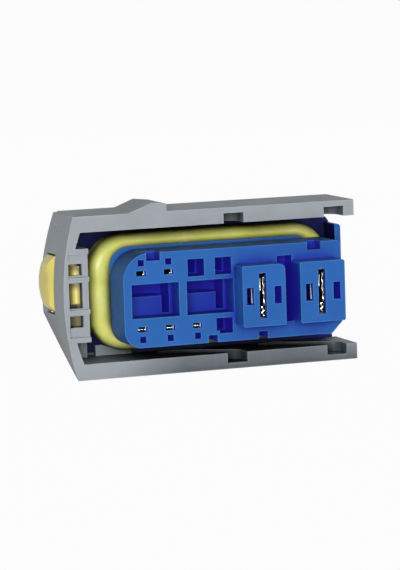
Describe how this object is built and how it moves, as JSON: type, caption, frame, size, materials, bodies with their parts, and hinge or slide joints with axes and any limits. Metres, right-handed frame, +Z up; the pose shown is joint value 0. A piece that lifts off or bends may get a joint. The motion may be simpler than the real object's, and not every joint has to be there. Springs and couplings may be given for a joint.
{
  "type": "automotive connector",
  "caption": "Sealed rectangular automotive plug with signal and power contacts, a perimeter seal, and a U-shaped slide lock with a position lock in its end.",
  "frame": {"origin": "on the tower's mating face, in the middle of the tower's width and of the slide's height", "axes": "+X along the slide towards its open end, +Y from the mating side towards the wires, +Z up"},
  "size_m": [0.0552, 0.0304, 0.03],
  "materials": {
    "blue_polyester": "moulded satin",
    "grey_polyester": "moulded satin",
    "yellow_polyester": "moulded satin",
    "yellow_silicone": "oiled silicone",
    "wire_seal_silicone": "oiled silicone",
    "tinned_copper": "tin plated",
    "silvered_copper": "silver plated",
    "spring_steel": "bright rolled"
  },
  "bodies": {
    "plug": {"housing": "blue_polyester", "front_cover": "blue_polyester", "perimeter_seal": "yellow_silicone", "rear_cover": "blue_polyester", "signal_contact_1": "tinned_copper", "signal_contact_2": "tinned_copper", "signal_contact_3": "tinned_copper", "signal_contact_4": "tinned_copper", "signal_contact_5": "tinned_copper", "power_contact_1": "silvered_copper", "power_contact_2": "silvered_copper", "power_sleeve_1": "spring_steel", "power_sleeve_2": "spring_steel", "signal_wire_seal_1": "wire_seal_silicone", "signal_wire_seal_2": "wire_seal_silicone", "signal_wire_seal_3": "wire_seal_silicone", "signal_wire_seal_4": "wire_seal_silicone", "signal_wire_seal_5": "wire_seal_silicone", "power_wire_seal_1": "wire_seal_silicone", "power_wire_seal_2": "wire_seal_silicone"},
    "slide_lock": {"slide": "grey_polyester"},
    "lock_button": {"position_lock": "yellow_polyester"}
  },
  "joints": [
    {"name": "slide_travel", "type": "slide", "parent": "plug", "child": "slide_lock", "axis": [1, 0, 0], "range_m": [-0.0105, 0]},
    {"name": "lock_press", "type": "slide", "parent": "slide_lock", "child": "lock_button", "axis": [1, 0, 0], "range_m": [0, 0.0012]}
  ]
}
